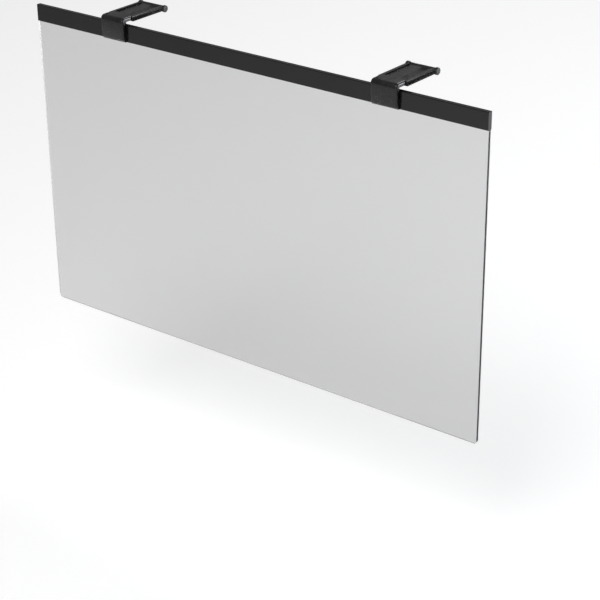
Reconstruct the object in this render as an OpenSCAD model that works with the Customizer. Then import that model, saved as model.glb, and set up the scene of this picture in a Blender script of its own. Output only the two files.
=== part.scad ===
// Hang-on privacy filter for a 24 inch wide monitor.
// A clear grey acrylic sheet is bonded into a black header strip. Two hangers snap over the header.
// Each hanger's slide is pulled to the rear until its bar drops behind the monitor.
// Origin: centre of the monitor's top front edge. X runs along the header, Y to the rear, Z up.
// The hangers' rear tabs touch the monitor's front at Y 0 and the slides lie on its top at Z 0.

/* [Sheet] */
// Width of the sheet and of the header
filter_w = 540; // [400:1:620]
// Height of the sheet that shows below the header
sheet_drop = 307.4; // [200:0.1:380]
// Thickness of the sheet
sheet_t = 3; // [2:0.1:3.6]
// Radius of the sheet's bottom corners
sheet_corner_r = 4; // [1:0.5:12]
// Polished bevel on the sheet's long edges
sheet_bevel = 0.4; // [0.2:0.1:0.8]

/* [Header] */
// Height of the header strip
header_h = 17; // [14:0.5:26]
// Front to back thickness of the header strip
header_t = 5; // [4.8:0.1:7]
// Material above the sheet's top edge
header_roof = 2; // [1.5:0.1:3]
// Closed wall at each end of the header
header_end = 1.6; // [1:0.1:3]
// Rounding of the header's long edges
header_edge_r = 0.7; // [0.3:0.1:1]

/* [Hanger clip] */
// Distance between the middles of the two hangers
hanger_pitch = 326; // [120:1:360]
// Width of the clip's leg and strap
strap_w = 28; // [24:0.5:36]
// Thickness of the strap
strap_t = 1.9; // [1.8:0.1:2.4]
// How far the strap reaches behind the header's front
strap_reach = 52; // [50:0.5:64]
// Thickness of the front leg
leg_t = 4; // [3.4:0.1:4.6]
// Outer radius of the bend from leg to strap
bend_r = 3; // [2.6:0.1:3.4]
// How far the leg stands off the header's front at the bend
bend_out = 2; // [1.6:0.1:2.4]
// Angle at which the leg leans back, one of those whose turned faces stay exact
leg_lean = 4.23; // [3.21, 4.23, 4.49]
// Rounding along the outer edges of leg, bend and strap
strip_edge_r = 1.5; // [0.8:0.1:1.7]
// Width of the tab behind the header
tab_w = 18; // [12:0.5:22]
// Thickness of the tab behind the header
tab_t = 1.6; // [1.2:0.1:2.4]
// How far the snap lips reach in under the header
lip_reach = 0.8; // [0.4:0.1:0.8]
// Height of the snap lips
lip_h = 1.2; // [0.8:0.1:2]

/* [Slide] */
// Gap between the header's top and the slide's underside
slide_lift = 2; // [1.6:0.1:4]
// Thickness of the slide's floor
floor_t = 1.2; // [1:0.1:2]
// Thickness of the slide's side walls
wall_t = 2; // [1.6:0.1:3]
// Thickness of the lips that hold the strap down
keeper_t = 0.85; // [0.7:0.05:1.4]
// How far the lips reach in over the strap
keeper_reach = 2.5; // [1.6:0.1:4]
// Front end of the slide behind the header's front, pushed in
slide_front = 9; // [8.8:0.1:9.6]
// Front to back width of the loop across the strap
loop_w = 3.2; // [2:0.1:3.6]
// Rise of the loop's crown
loop_crown = 0.5; // [0.2:0.1:1]
// Radius of the hook bar at the slide's rear
bar_r = 2.8; // [2.6:0.1:3.2]
// Radius of the knobs at the bar's ends
knob_r = 3.5; // [3.3:0.1:4]
// Width of each knob
knob_w = 3.2; // [2:0.1:5]

/* [Notches] */
// Radius of the edge notches
notch_r = 3.5; // [2.5:0.1:3.8]
// Spacing of the edge notches
notch_pitch = 13.75; // [12.5:0.05:13.9]
// First notch behind the header's front
notch_start = 4.5; // [4:0.1:5]
// How far the notches cut into the strap's edge
notch_depth = 2.4; // [1:0.1:2.6]

/* [Fits] */
// Running gap between strap and slide
run_gap = 0.25; // [0.2:0.05:0.35]
// Bond line between sheet and header
bond_gap = 0.1; // [0.05:0.05:0.15]
// Gap between each snap lip and its pocket
lip_gap = 0.1; // [0.05:0.05:0.2]

/* [Hidden] */
$fn = 64;

// Far enough to cut right through any piece
past = 60;

// Levels, up from the slide's underside
floor_top = floor_t;
strap_low = floor_top + run_gap;
strap_top = strap_low + strap_t;
keeper_low = strap_top + run_gap;
keeper_top = keeper_low + keeper_t;
header_top = -slide_lift;
header_low = header_top - header_h;

// Places along Y, where the rear tabs' back is zero
header_back = -tab_t;
header_front = header_back - header_t;
sheet_front = header_front + (header_t - sheet_t) / 2;
sheet_back = sheet_front + sheet_t;
sheet_low = header_low - sheet_drop;

// Two clicks of the notches
slide_travel = 2 * notch_pitch;
strap_end = header_front + strap_reach;
slide_start = header_front + slide_front;
block_front = strap_end + run_gap;
bar_reach = 3;
bar_y = block_front + bar_reach;
bar_z = 1.6;
half_strap = strap_w / 2;
half_channel = half_strap + run_gap;
half_slide = half_channel + wall_t;
notch_x = -(half_strap - notch_depth + notch_r);
notch_y = [for (i = [0:3]) header_front + notch_start + i * notch_pitch];

// Bend of the clip
bend_y = header_front - bend_out;
bend_z = strap_top - bend_r;
bend_core = 0.3;
web_r = 0.4;
root_r = 0.7;
root_bite = 0.1;
lip_w = strap_w - 2;

// Room under the fillet between strap and rear tab
web_room = 0.2;

// Stop boss on the slide's snap finger, and the groove it runs in
boss_w = 4;
boss_len = 3;
boss_h = 1;
boss_place = 8.5;
boss_front = slide_start + boss_place;
groove_side = 0.3;
finger_w = 8;
finger_len = 14;
finger_rim = 1.2;
finger_slit = 0.8;

// Black acrylonitrile plastic and clear grey acrylic
black = [0.07, 0.07, 0.075];
grey = [0.62, 0.62, 0.62, 0.55];

// Rectangle with four round corners
module round_rect(x0, x1, y0, y1, r) {
    translate([x0 + r, y0]) square([x1 - x0 - 2 * r, y1 - y0]);
    translate([x0, y0 + r]) square([x1 - x0, y1 - y0 - 2 * r]);
    for (x = [x0 + r, x1 - r], y = [y0 + r, y1 - r]) translate([x, y]) circle(r);
}

// Strip section of width w from depth d0 to d1, with round corners at d1
module strip_section(w, d0, d1, r) {
    translate([-w / 2, d0]) square([w, d1 - d0 - r]);
    intersection() {
        translate([-w / 2, d0]) square([w, d1 - d0]);
        union() {
            translate([-w / 2 + r, d0]) square([w - 2 * r, d1 - d0]);
            for (x = [-1, 1]) translate([x * (w / 2 - r), d1 - r]) circle(r);
        }
    }
}

// Inside corner with a concave fillet, open towards +X and +Y
module inner_fillet(r) {
    difference() {
        square(r);
        translate([r, r]) circle(r);
    }
}

// Extrudes a Y and Z section along X, about the middle
module along_x(length) {
    rotate([90, 0, 90]) linear_extrude(length, center = true) children();
}

// Extrudes an X and Z section along Y
module along_y(from, to) {
    translate([0, to, 0]) rotate([90, 0, 0]) linear_extrude(to - from) children();
}

module at_hanger(side) {
    translate([side * hanger_pitch / 2, 0, 0]) children();
}

module filter_sheet() {
    tongue_w = filter_w - 2 * header_end - 2 * bond_gap;
    tongue_top = header_top - header_roof - bond_gap;
    color(grey) intersection() {
        along_y(sheet_front, sheet_back) {
            round_rect(-filter_w / 2, filter_w / 2, sheet_low, header_low, sheet_corner_r);
            translate([-filter_w / 2, sheet_low + 2 * sheet_corner_r])
                square([filter_w, sheet_drop - 2 * sheet_corner_r - bond_gap]);
            translate([-tongue_w / 2, header_low - sheet_corner_r])
                square([tongue_w, tongue_top - header_low + sheet_corner_r]);
        }
        along_x(filter_w + 1) polygon([
            [sheet_front + sheet_bevel, sheet_low],
            [sheet_back - sheet_bevel, sheet_low],
            [sheet_back, sheet_low + sheet_bevel],
            [sheet_back, tongue_top],
            [sheet_front, tongue_top],
            [sheet_front, sheet_low + sheet_bevel]]);
    }
}

module header_strip() {
    slot_front = sheet_front - bond_gap;
    slot_t = sheet_t + 2 * bond_gap;
    color(black) difference() {
        along_x(filter_w)
            round_rect(header_front, header_back, header_low, header_top, header_edge_r);
        translate([-filter_w / 2 + header_end, slot_front, header_low - past])
            cube([filter_w - 2 * header_end, slot_t, past + header_h - header_roof]);
        for (side = [-1, 1]) at_hanger(side) {
            lip_pocket(lip_w, header_front - 1, slot_front + 1);
            lip_pocket(tab_w, header_back - lip_reach - lip_gap, header_back + 1);
        }
    }
}

// Pocket in the header's lower edge for a snap lip
module lip_pocket(w, from, to) {
    translate([-w / 2 - lip_gap, from, header_low - 1])
        cube([w + 2 * lip_gap, to - from, 1 + lip_h + lip_gap]);
}

// Edge notches, cut from the given places down through the strap or the slide
module edge_notches(places) {
    for (y = places) translate([notch_x, y, -past / 2]) cylinder(h = past, r = notch_r);
}

// Leg, bend and strap as one moulded strip
module clip_strip() {
    leg_len = (bend_z - header_low) / cos(leg_lean);
    leg_back = leg_t - bend_r;
    under = bend_r - strap_t;
    web_top = under + (strap_t - strip_edge_r) / 2;
    fillet_y = leg_back + root_r - root_bite;
    fillet_z = under - root_r + root_bite;
    along_y(bend_y, strap_end)
        strip_section(strap_w, strap_low, strap_top, strip_edge_r);
    translate([0, bend_y, bend_z]) {
        mirror([0, 1, 0]) rotate([0, -90, 0])
            rotate_extrude(angle = 90 + leg_lean)
                rotate(-90) strip_section(strap_w, bend_core, bend_r, strip_edge_r);
        rotate([leg_lean, 0, 0]) {
            translate([0, 0, -leg_len - 1]) linear_extrude(leg_len + 1)
                mirror([0, 1]) strip_section(strap_w, -leg_back, bend_r, strip_edge_r);
            along_x(strap_w) translate([-web_r, -web_r])
                square([leg_back + web_r, web_top + web_r]);
        }
        along_x(strap_w) difference() {
            translate([leg_back / 2, fillet_z])
                square([fillet_y - leg_back / 2, web_top - fillet_z]);
            translate([fillet_y, fillet_z]) circle(root_r);
        }
    }
}

module hanger_clip(side) {
    color(black) at_hanger(side) difference() {
        union() {
            difference() {
                clip_strip();
                translate([-past / 2, header_front, -past]) cube(past);
                translate([-past / 2, -past / 2, header_low - past]) cube(past);
            }
            snap_lip(lip_w, header_front, lip_reach);
            rear_tab();
        }
        edge_notches(notch_y);
        translate([-boss_w / 2 - groove_side, boss_front - groove_side, strap_low - 1])
            cube([boss_w + 2 * groove_side, boss_len + slide_travel + 2 * groove_side,
                  1 + boss_h]);
    }
}

// Lip at a leg's foot that reaches under the header, rooted in the leg
module snap_lip(w, face, reach) {
    root = -sign(reach) * tab_t / 2;
    translate([-w / 2, min(face + root, face + reach), header_low])
        cube([w, abs(root) + abs(reach), lip_h]);
}

// Tab behind the header, with its snap lip and a fillet up to the strap
module rear_tab() {
    tab_top = strap_low + strap_t / 2;
    fillet_r = strap_low - header_top - web_room;
    translate([-tab_w / 2, header_back, header_low]) cube([tab_w, tab_t, tab_top - header_low]);
    snap_lip(tab_w, header_back, -lip_reach);
    translate([0, header_back, strap_low]) mirror([0, 1, 0]) mirror([0, 0, 1])
        along_x(tab_w) inner_fillet(fillet_r);
}

// Section of the slide: floor, side walls and the lips over the strap
module slide_section() {
    difference() {
        strip_section(2 * half_slide, 0, keeper_top, strip_edge_r);
        translate([-half_channel, floor_top]) square([2 * half_channel, keeper_low - floor_top]);
        translate([-half_channel + keeper_reach, floor_top])
            square([2 * (half_channel - keeper_reach), past]);
    }
}

// Crowned loop over the strap
module loop_section() {
    half_span = half_channel - keeper_reach / 2;
    crown_r = (pow(half_span, 2) + pow(loop_crown, 2)) / (2 * loop_crown);
    intersection() {
        translate([-half_span, keeper_low]) square([2 * half_span, past]);
        translate([0, keeper_top + loop_crown - crown_r]) circle(crown_r, $fn = 360);
    }
}

// Round hook bar with a knob at each end, along X
module hook_bar() {
    rim = 0.8;
    translate([0, bar_y, bar_z]) rotate([0, 90, 0]) {
        cylinder(h = 2 * half_slide, r = bar_r, center = true);
        for (end = [0, 1]) mirror([0, 0, end]) translate([0, 0, half_channel])
            rotate_extrude() {
                square([knob_r - rim, knob_w]);
                translate([0, rim]) square([knob_r, knob_w - 2 * rim]);
                translate([knob_r - rim, rim]) circle(rim);
                translate([knob_r - rim, knob_w - rim]) circle(rim);
            }
    }
}

module hanger_slide(side) {
    color(black) at_hanger(side) {
        difference() {
            union() {
                along_y(slide_start, block_front) slide_section();
                along_y(slide_start, slide_start + loop_w) loop_section();
                along_y(block_front, bar_y)
                    strip_section(2 * half_slide, 0, strap_top, strip_edge_r);
                hook_bar();
            }
            edge_notches([for (i = [1:3]) notch_y[i]]);
            finger_slits();
        }
        translate([-boss_w / 2, boss_front, floor_top / 2])
            cube([boss_w, boss_len, boss_h + floor_top / 2 - run_gap / 2]);
    }
}

// Slits that free the snap finger on three sides
module finger_slits() {
    front = boss_front - finger_rim - finger_slit;
    for (x = [-finger_w / 2 - finger_slit, finger_w / 2]) translate([x, front, -1])
        cube([finger_slit, finger_len, 1 + strap_low]);
    translate([-finger_w / 2 - finger_slit, front, -1])
        cube([finger_w + 2 * finger_slit, finger_slit, 1 + strap_low]);
}

module hanger_clip_left() { hanger_clip(-1); }
module hanger_clip_right() { hanger_clip(1); }
module hanger_slide_left() { hanger_slide(-1); }
module hanger_slide_right() { hanger_slide(1); }

filter_sheet();
header_strip();
hanger_clip_left();
hanger_clip_right();
hanger_slide_left();
hanger_slide_right();
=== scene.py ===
import math

import bmesh
import bpy
from mathutils import Matrix, Vector


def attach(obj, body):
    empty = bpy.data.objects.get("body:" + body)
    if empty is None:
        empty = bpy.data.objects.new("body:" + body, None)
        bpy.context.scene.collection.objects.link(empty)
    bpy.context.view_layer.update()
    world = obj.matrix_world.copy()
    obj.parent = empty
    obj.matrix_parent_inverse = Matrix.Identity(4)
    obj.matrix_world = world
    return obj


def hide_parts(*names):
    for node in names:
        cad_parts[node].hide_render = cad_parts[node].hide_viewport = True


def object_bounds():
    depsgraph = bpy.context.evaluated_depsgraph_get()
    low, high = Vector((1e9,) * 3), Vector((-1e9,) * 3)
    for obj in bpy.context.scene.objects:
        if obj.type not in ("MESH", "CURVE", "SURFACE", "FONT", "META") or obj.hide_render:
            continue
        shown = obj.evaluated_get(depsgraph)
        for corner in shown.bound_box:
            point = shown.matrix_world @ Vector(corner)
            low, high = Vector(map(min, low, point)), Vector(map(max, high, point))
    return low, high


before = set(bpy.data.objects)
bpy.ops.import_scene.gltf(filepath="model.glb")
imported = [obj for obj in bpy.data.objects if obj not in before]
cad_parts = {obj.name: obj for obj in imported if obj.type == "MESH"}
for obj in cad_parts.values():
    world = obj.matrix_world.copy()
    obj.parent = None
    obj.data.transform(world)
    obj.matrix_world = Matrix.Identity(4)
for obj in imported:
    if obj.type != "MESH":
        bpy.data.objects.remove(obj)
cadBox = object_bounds()
scene = bpy.context.scene
scene.view_settings.view_transform = "Standard"
print("frame loaded:", len(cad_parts), "nodes")


def linearColor(hexCode, alpha=1.0):
    # sRGB hex to the linear colour that a shader wants
    channels = []
    for start in (0, 2, 4):
        value = int(hexCode[start:start + 2], 16) / 255
        channels.append(value / 12.92 if value <= 0.04045 else ((value + 0.055) / 1.055) ** 2.4)
    return (*channels, alpha)


def addNode(tree, kind, settings=None, values=None, links=None):
    # one node with its settings, its socket values and the sockets that feed it
    node = tree.nodes.new(kind)
    for name, value in (settings or {}).items():
        setattr(node, name, value)
    for socket, value in (values or {}).items():
        node.inputs[socket].default_value = value
    for socket, source in (links or {}).items():
        tree.links.new(source, node.inputs[socket])
    return node


def newMaterial(name):
    material = bpy.data.materials.new(name)
    material.use_nodes = True
    material.node_tree.nodes.clear()
    return material, material.node_tree


def setRamp(node, stops):
    ramp = node.color_ramp
    while len(ramp.elements) < len(stops):
        ramp.elements.new(0.5)
    for element, (place, color) in zip(ramp.elements, stops):
        element.position = place
        element.color = color


def dress(nodeName, material):
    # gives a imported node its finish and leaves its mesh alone
    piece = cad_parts[nodeName]
    piece.data.materials.clear()
    piece.data.materials.append(material)


# Camera where the photograph was taken from, in degrees, metres and millimetres of lens
cameraSettings = {
    "azimuth": 38.42,
    "elevation": 28.28,
    "roll": 0.61,
    "place": (1.0764, -1.2851, 0.5317),
    "focalLength": 111.66,
    "sensorWidth": 36.0,
    "shiftUp": 1 / 6,
    "nearest": 0.05,
    "farthest": 40,
}


def buildCamera(settings):
    azimuth = math.radians(settings["azimuth"])
    elevation = math.radians(settings["elevation"])
    roll = math.radians(settings["roll"])
    forward = Vector((-math.sin(azimuth) * math.cos(elevation),
                      math.cos(azimuth) * math.cos(elevation),
                      -math.sin(elevation)))
    level = Vector((math.cos(azimuth), math.sin(azimuth), 0))
    upright = level.cross(forward)
    right = math.cos(roll) * level - math.sin(roll) * upright
    up = math.cos(roll) * upright + math.sin(roll) * level
    data = bpy.data.cameras.new("photoCamera")
    data.lens = settings["focalLength"]
    data.sensor_width = settings["sensorWidth"]
    data.shift_y = settings["shiftUp"]
    data.clip_start = settings["nearest"]
    data.clip_end = settings["farthest"]
    camera = bpy.data.objects.new("photoCamera", data)
    turn = Matrix((right, up, -forward)).transposed().to_4x4()
    camera.matrix_world = Matrix.Translation(settings["place"]) @ turn
    scene.collection.objects.link(camera)
    scene.camera = camera


buildCamera(cameraSettings)
print("camera set")

# Floor, world and lamps of a plain white studio
studioSettings = {
    "floorSize": 9.0,
    "floorDrop": 0.16,
    "floorColor": "F2F2F2",
    "floorLift": 0.40,
    "skyColor": "FFFFFF",
    "skyStrength": 0.24,
    "backdropColor": "FFFFFF",
    "lamps": [
        # name, place, aim, width, height, power, colour
        ("keyLamp", (0.35, -1.45, 1.3), (0, -0.5, -0.3), 1.0, 1.0, 19, "FFFFFF"),
        ("rightLamp", (1.7, 1.5, 0.1), (0.16, 0, 0), 0.9, 0.9, 26, "F4F8FF"),
        ("rearLamp", (-0.6, 2.4, 2.4), (0, 0.2, -0.3), 1.4, 1.4, 26, "FFFFFF"),
    ],
}


def backdropRays(tree):
    # 1 for what the camera sees, straight on or through the clear sheet
    path = addNode(tree, "ShaderNodeLightPath")
    either = addNode(tree, "ShaderNodeMath", {"operation": "MAXIMUM"},
                     links={0: path.outputs["Is Camera Ray"],
                            1: path.outputs["Is Transmission Ray"]})
    return either.outputs[0]


def buildFloor(settings):
    # pale paint with a little glow for the camera, and the object's own shadow left on it
    material, tree = newMaterial("paleStudioPaint")
    lift = addNode(tree, "ShaderNodeMath", {"operation": "MULTIPLY"}, {1: settings["floorLift"]},
                   {0: backdropRays(tree)})
    paint = addNode(tree, "ShaderNodeBsdfDiffuse", None,
                    {"Color": linearColor(settings["floorColor"])})
    glow = addNode(tree, "ShaderNodeEmission", None,
                   {"Color": linearColor(settings["backdropColor"])},
                   {"Strength": lift.outputs[0]})
    both = addNode(tree, "ShaderNodeAddShader", links={0: paint.outputs[0], 1: glow.outputs[0]})
    addNode(tree, "ShaderNodeOutputMaterial", links={"Surface": both.outputs[0]})
    bpy.ops.mesh.primitive_plane_add(size=settings["floorSize"])
    floor = bpy.context.object
    floor.name = "studioFloor"
    floor.location.z = cadBox[0][2] - settings["floorDrop"]
    floor.data.materials.append(material)


def buildSky(settings):
    # dim light on the object, and plain white behind it
    world = bpy.data.worlds.new("studioSky")
    scene.world = world
    world.use_nodes = True
    tree = world.node_tree
    tree.nodes.clear()
    light = addNode(tree, "ShaderNodeBackground", None,
                    {"Color": linearColor(settings["skyColor"]),
                     "Strength": settings["skyStrength"]})
    view = addNode(tree, "ShaderNodeBackground", None,
                   {"Color": linearColor(settings["backdropColor"]), "Strength": 1.0})
    mix = addNode(tree, "ShaderNodeMixShader",
                  links={0: backdropRays(tree), 1: light.outputs[0], 2: view.outputs[0]})
    addNode(tree, "ShaderNodeOutputWorld", links={"Surface": mix.outputs[0]})


def buildLamps(settings):
    for name, place, aim, width, height, power, color in settings["lamps"]:
        data = bpy.data.lights.new(name, "AREA")
        data.shape = "RECTANGLE"
        data.size = width
        data.size_y = height
        data.energy = power
        data.color = linearColor(color)[:3]
        lamp = bpy.data.objects.new(name, data)
        lamp.location = place
        # seen neither straight on nor through the clear sheet
        lamp.visible_camera = False
        lamp.visible_transmission = False
        away = Vector(place) - Vector(aim)
        lamp.rotation_euler = away.to_track_quat("Z", "Y").to_euler()
        scene.collection.objects.link(lamp)


buildFloor(studioSettings)
buildSky(studioSettings)
buildLamps(studioSettings)
print("studio lit")

# Cast acrylic, dyed grey and polished: clear, with faint ripples and a soft dust haze
sheetSettings = {
    "dye": "D6D6D6",
    "refraction": 1.49,
    "polish": 0.03,
    "haze": 0.10,
    "rippleSize": 0.045,
    "rippleHeight": 0.00002,
    "dustSize": 0.18,
    "dustThin": 0.35,
    "dustThick": 0.75,
}


def makeAcrylic(settings):
    material, tree = newMaterial("castGreyAcrylic")
    coords = addNode(tree, "ShaderNodeTexCoord")
    ripple = addNode(tree, "ShaderNodeTexNoise", None,
                     {"Scale": 1 / settings["rippleSize"], "Detail": 1.5, "Roughness": 0.4},
                     {"Vector": coords.outputs["Object"]})
    bump = addNode(tree, "ShaderNodeBump", None,
                   {"Strength": 1.0, "Distance": settings["rippleHeight"]},
                   {"Height": ripple.outputs["Fac"]})
    dust = addNode(tree, "ShaderNodeTexNoise", None,
                   {"Scale": 1 / settings["dustSize"], "Detail": 6, "Roughness": 0.62},
                   {"Vector": coords.outputs["Object"]})
    rough = addNode(tree, "ShaderNodeMapRange", None,
                    {"From Min": settings["dustThin"], "From Max": settings["dustThick"],
                     "To Min": settings["polish"], "To Max": settings["haze"]},
                    {"Value": dust.outputs["Fac"]})
    shader = addNode(tree, "ShaderNodeBsdfPrincipled", None,
                     {"Base Color": linearColor(settings["dye"]), "IOR": settings["refraction"],
                      "Transmission Weight": 1.0},
                     {"Roughness": rough.outputs["Result"], "Normal": bump.outputs["Normal"]})
    addNode(tree, "ShaderNodeOutputMaterial", links={"Surface": shader.outputs[0]})
    return material


dress("filter_sheet", makeAcrylic(sheetSettings))
print("sheet finished")

# Extruded black ABS: glossy, with faint die lines that run along the strip. Real ones are finer
# and wouldn't show, so they are drawn coarser.
headerSettings = {
    "darkest": "0C0C0E",
    "palest": "151518",
    "refraction": 1.54,
    "dieLine": 0.0009,
    "lineStretch": 0.012,
    "lineHeight": 0.000012,
    "patchesPerMetre": 22,
    "tintFrom": 0.32,
    "tintTo": 0.70,
    "roughFrom": 0.3,
    "roughTo": 0.7,
    "roughLow": 0.12,
    "roughHigh": 0.20,
}


def makeExtrudedPlastic(settings):
    material, tree = newMaterial("extrudedBlackAbs")
    coords = addNode(tree, "ShaderNodeTexCoord")
    along = addNode(tree, "ShaderNodeMapping", None, {"Scale": (settings["lineStretch"], 1, 1)},
                    {"Vector": coords.outputs["Object"]})
    lines = addNode(tree, "ShaderNodeTexNoise", None,
                    {"Scale": 1 / settings["dieLine"], "Detail": 2, "Roughness": 0.5},
                    {"Vector": along.outputs["Vector"]})
    bump = addNode(tree, "ShaderNodeBump", None,
                   {"Strength": 1.0, "Distance": settings["lineHeight"]},
                   {"Height": lines.outputs["Fac"]})
    patches = addNode(tree, "ShaderNodeTexNoise", None,
                      {"Scale": settings["patchesPerMetre"], "Detail": 5, "Roughness": 0.6},
                      {"Vector": coords.outputs["Object"]})
    tint = addNode(tree, "ShaderNodeValToRGB", links={"Fac": patches.outputs["Fac"]})
    setRamp(tint, [(settings["tintFrom"], linearColor(settings["darkest"])),
                   (settings["tintTo"], linearColor(settings["palest"]))])
    rough = addNode(tree, "ShaderNodeMapRange", None,
                    {"From Min": settings["roughFrom"], "From Max": settings["roughTo"],
                     "To Min": settings["roughLow"], "To Max": settings["roughHigh"]},
                    {"Value": patches.outputs["Fac"]})
    shader = addNode(tree, "ShaderNodeBsdfPrincipled", None, {"IOR": settings["refraction"]},
                     {"Base Color": tint.outputs["Color"], "Roughness": rough.outputs["Result"],
                      "Normal": bump.outputs["Normal"]})
    addNode(tree, "ShaderNodeOutputMaterial", links={"Surface": shader.outputs[0]})
    return material


dress("header_strip", makeExtrudedPlastic(headerSettings))
print("header finished")

# Injection moulded black ABS: a bright polish with fine orange peel, and a little duller in
# streaks where it slides
hangerSettings = {
    "darkest": "101110",
    "palest": "1C1E1D",
    "refraction": 1.54,
    "peelSize": 0.0011,
    "peelHeight": 0.000010,
    "rubSize": 0.006,
    "rubFrom": 0.35,
    "rubTo": 0.68,
    "rubStretch": 0.2,
    "rubDulling": 0.06,
    "roughLow": 0.20,
    "roughHigh": 0.34,
}


def makeMouldedPlastic(name, settings, rubbed):
    stretch = settings["rubStretch"] if rubbed else 1
    dulling = settings["rubDulling"] if rubbed else 0
    material, tree = newMaterial(name)
    coords = addNode(tree, "ShaderNodeTexCoord")
    peel = addNode(tree, "ShaderNodeTexNoise", None,
                   {"Scale": 1 / settings["peelSize"], "Detail": 2, "Roughness": 0.5},
                   {"Vector": coords.outputs["Object"]})
    bump = addNode(tree, "ShaderNodeBump", None,
                   {"Strength": 1.0, "Distance": settings["peelHeight"]},
                   {"Height": peel.outputs["Fac"]})
    stretched = addNode(tree, "ShaderNodeMapping", None, {"Scale": (1, stretch, 1)},
                        {"Vector": coords.outputs["Object"]})
    rub = addNode(tree, "ShaderNodeTexNoise", None,
                  {"Scale": 1 / settings["rubSize"], "Detail": 5, "Roughness": 0.6},
                  {"Vector": stretched.outputs["Vector"]})
    tint = addNode(tree, "ShaderNodeValToRGB", links={"Fac": rub.outputs["Fac"]})
    setRamp(tint, [(settings["rubFrom"], linearColor(settings["darkest"])),
                   (settings["rubTo"], linearColor(settings["palest"]))])
    rough = addNode(tree, "ShaderNodeMapRange", None,
                    {"From Min": settings["rubFrom"], "From Max": settings["rubTo"],
                     "To Min": settings["roughLow"], "To Max": settings["roughHigh"] + dulling},
                    {"Value": rub.outputs["Fac"]})
    shader = addNode(tree, "ShaderNodeBsdfPrincipled", None, {"IOR": settings["refraction"]},
                     {"Base Color": tint.outputs["Color"], "Roughness": rough.outputs["Result"],
                      "Normal": bump.outputs["Normal"]})
    addNode(tree, "ShaderNodeOutputMaterial", links={"Surface": shader.outputs[0]})
    return material


clipPlastic = makeMouldedPlastic("mouldedBlackAbsClip", hangerSettings, False)
slidePlastic = makeMouldedPlastic("mouldedBlackAbsSlide", hangerSettings, True)

# Hangers with straight edges, a head above the strap and a row of dished stop holes, in metres
# and degrees
hangerForm = {
    "pitch": 0.326,
    "halfWidth": 0.0145,
    "thickness": 0.0040,
    "edgeRound": 0.0019,
    "edgeSteps": 6,
    "headTop": 0.0051,
    "headEnd": 0.0022,
    "bendRadius": 0.0044,
    "bendY": -0.0072,
    "bendSteps": 14,
    "lean": 2.75,
    "footLow": -0.019,
    "toe": (-0.0106, -0.0162),
    "trimY": -0.0070,
    "strapTop": 0.00335,
    "holeRadius": 0.0012,
    "holeSides": 32,
    "dishRadius": 0.0019,
    "dishDepth": 0.0009,
    "holeX": -0.0097,
    "holeFirst": -0.0056,
    "holePitch": 0.0143,
    "holeCount": 4,
    "through": 0.005,
    "sharpAngle": 32,
}
weldDistance = 1e-6
seamDistance = 2e-6
cutTolerance = 1e-7


def allOf(shape):
    return shape.verts[:] + shape.edges[:] + shape.faces[:]


def pullFace(shape, face, move, grow=1.0):
    # extrudes one face, which keeps its outline or grows about the Z axis
    inside = all(len(edge.link_faces) > 1 for edge in face.edges)
    result = bmesh.ops.extrude_face_region(shape, geom=[face])["geom"]
    if inside:
        # the face that was pulled would stay behind as a wall across the solid
        bmesh.ops.delete(shape, geom=[face], context="FACES_ONLY")
    points = [item for item in result if isinstance(item, bmesh.types.BMVert)]
    bmesh.ops.scale(shape, verts=points, vec=(grow, grow, 1))
    bmesh.ops.translate(shape, verts=points, vec=move)
    return [item for item in result if isinstance(item, bmesh.types.BMFace)][0]


def cutFlat(shape, point, outward):
    # takes off what lies outward of a plane, and closes the cut
    cut = bmesh.ops.bisect_plane(shape, geom=allOf(shape), dist=cutTolerance, plane_co=point,
                                 plane_no=outward, clear_outer=True)["geom_cut"]
    rim = [item for item in cut if isinstance(item, bmesh.types.BMEdge)]
    bmesh.ops.holes_fill(shape, edges=rim, sides=0)


def evenHalves(nodeName, middle):
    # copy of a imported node, with its plain right half mirrored over the left one
    shape = bmesh.new()
    shape.from_mesh(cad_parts[nodeName].data)
    bmesh.ops.remove_doubles(shape, verts=shape.verts, dist=weldDistance)
    bmesh.ops.bisect_plane(shape, geom=allOf(shape), dist=cutTolerance, plane_co=(middle, 0, 0),
                           plane_no=(1, 0, 0), clear_inner=True)
    bmesh.ops.mirror(shape, geom=allOf(shape), matrix=Matrix.Translation((-middle, 0, 0)),
                     merge_dist=seamDistance, axis="X")
    # the mirror leaves its seam open
    bmesh.ops.remove_doubles(shape, verts=shape.verts, dist=seamDistance)
    bmesh.ops.recalc_face_normals(shape, faces=shape.faces)
    return shape


def bentStrip(form, middle):
    # head, bend and leg, drawn from the head's rear end forward and down
    shape = bmesh.new()
    half, top = form["halfWidth"], form["headTop"]
    low = top - form["thickness"]
    corners = [shape.verts.new((middle + x, form["headEnd"], z))
               for x, z in ((-half, low), (half, low), (half, top), (-half, top))]
    shape.faces.new(corners)
    bmesh.ops.bevel(shape, geom=corners[2:], offset=form["edgeRound"],
                    segments=form["edgeSteps"], profile=0.5, affect="VERTICES", material=-1)
    shape.faces.ensure_lookup_table()
    end = pullFace(shape, shape.faces[0], (0, form["bendY"] - form["headEnd"], 0))
    bendZ = top - form["bendRadius"]
    lean = math.radians(form["lean"])
    spun = bmesh.ops.spin(shape, geom=[end], cent=(middle, form["bendY"], bendZ), axis=(1, 0, 0),
                          angle=math.pi / 2 + lean, steps=form["bendSteps"])["geom_last"]
    # as in pullFace, the face that was spun goes
    bmesh.ops.delete(shape, geom=[end], context="FACES_ONLY")
    end = [item for item in spun if isinstance(item, bmesh.types.BMFace)][0]
    length = (bendZ - form["footLow"]) / math.cos(lean) + form["thickness"]
    pullFace(shape, end, (0, length * math.sin(lean), -length * math.cos(lean)))
    cutFlat(shape, (middle, 0, form["footLow"]), (0, 0, -1))
    bmesh.ops.recalc_face_normals(shape, faces=shape.faces)
    return shape


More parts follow.
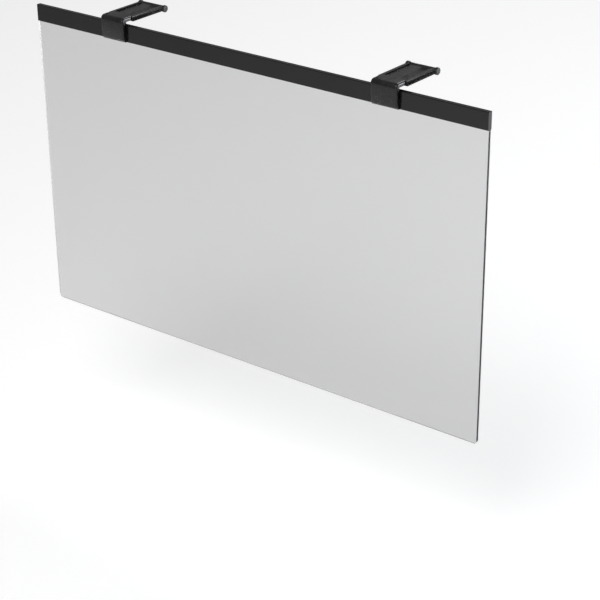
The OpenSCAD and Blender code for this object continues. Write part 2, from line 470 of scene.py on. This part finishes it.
def holeCutters(form, middle):
    # round punches with a cone above, one for each dished hole
    shape = bmesh.new()
    wide = 2 * form["dishRadius"] - form["holeRadius"]
    for index in range(form["holeCount"]):
        # the first hole is in the head, and the others are in the strap
        surface = form["headTop"] if index == 0 else form["strapTop"]
        before = set(shape.verts)
        bmesh.ops.create_circle(shape, cap_ends=True, segments=form["holeSides"],
                                radius=form["holeRadius"])
        face = [item for item in shape.faces if not before.intersection(item.verts)][0]
        face = pullFace(shape, face, (0, 0, form["through"] - form["dishDepth"]))
        pullFace(shape, face, (0, 0, 2 * form["dishDepth"]), wide / form["holeRadius"])
        place = (middle + form["holeX"], form["holeFirst"] + index * form["holePitch"],
                 surface - form["through"])
        bmesh.ops.translate(shape, verts=[v for v in shape.verts if v not in before], vec=place)
    bmesh.ops.recalc_face_normals(shape, faces=shape.faces)
    return shape


def meshObject(name, shape):
    mesh = bpy.data.meshes.new(name)
    shape.to_mesh(mesh)
    shape.free()
    piece = bpy.data.objects.new(name, mesh)
    scene.collection.objects.link(piece)
    return piece


def joinOrCut(piece, operation, shape):
    tool = meshObject("hangerTool", shape)
    modifier = piece.modifiers.new("joinOrCut", "BOOLEAN")
    modifier.operation = operation
    modifier.solver = "EXACT"
    modifier.object = tool
    ready = piece.evaluated_get(bpy.context.evaluated_depsgraph_get())
    mesh = bpy.data.meshes.new_from_object(ready)
    piece.modifiers.clear()
    piece.data = mesh
    bpy.data.objects.remove(tool)


def finishHanger(piece, material, body, nodeName):
    shape = bmesh.new()
    shape.from_mesh(piece.data)
    openEdges = sum(not edge.is_manifold for edge in shape.edges)
    print(piece.name, len(shape.faces), "faces,", openEdges, "open edges")
    shape.free()
    piece.data.materials.clear()
    piece.data.materials.append(material)
    piece.data.shade_smooth()
    piece.data.set_sharp_from_angle(angle=math.radians(hangerForm["sharpAngle"]))
    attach(piece, body)
    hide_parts(nodeName)


def buildHanger(side, sign, form):
    middle = sign * form["pitch"] / 2
    # what the strap's own node has behind the leg, with a new leg, bend and head joined on
    behindLeg = evenHalves("hanger_clip_" + side, middle)
    cutFlat(behindLeg, (middle, form["trimY"], 0), (0, -1, 0))
    clip = meshObject("hangerClip" + side.capitalize(), behindLeg)
    joinOrCut(clip, "UNION", bentStrip(form, middle))
    joinOrCut(clip, "DIFFERENCE", holeCutters(form, middle))
    shape = bmesh.new()
    shape.from_mesh(clip.data)
    bmesh.ops.remove_doubles(shape, verts=shape.verts, dist=weldDistance)
    # the toe's 45 degree chamfer
    cutFlat(shape, (middle, *form["toe"]), (0, -1, -1))
    shape.to_mesh(clip.data)
    shape.free()
    finishHanger(clip, clipPlastic, "filter", "hanger_clip_" + side)
    slide = meshObject("hangerSlide" + side.capitalize(),
                       evenHalves("hanger_slide_" + side, middle))
    finishHanger(slide, slidePlastic, "slide_" + side, "hanger_slide_" + side)


buildHanger("left", -1, hangerForm)
buildHanger("right", 1, hangerForm)
print("hangers finished")
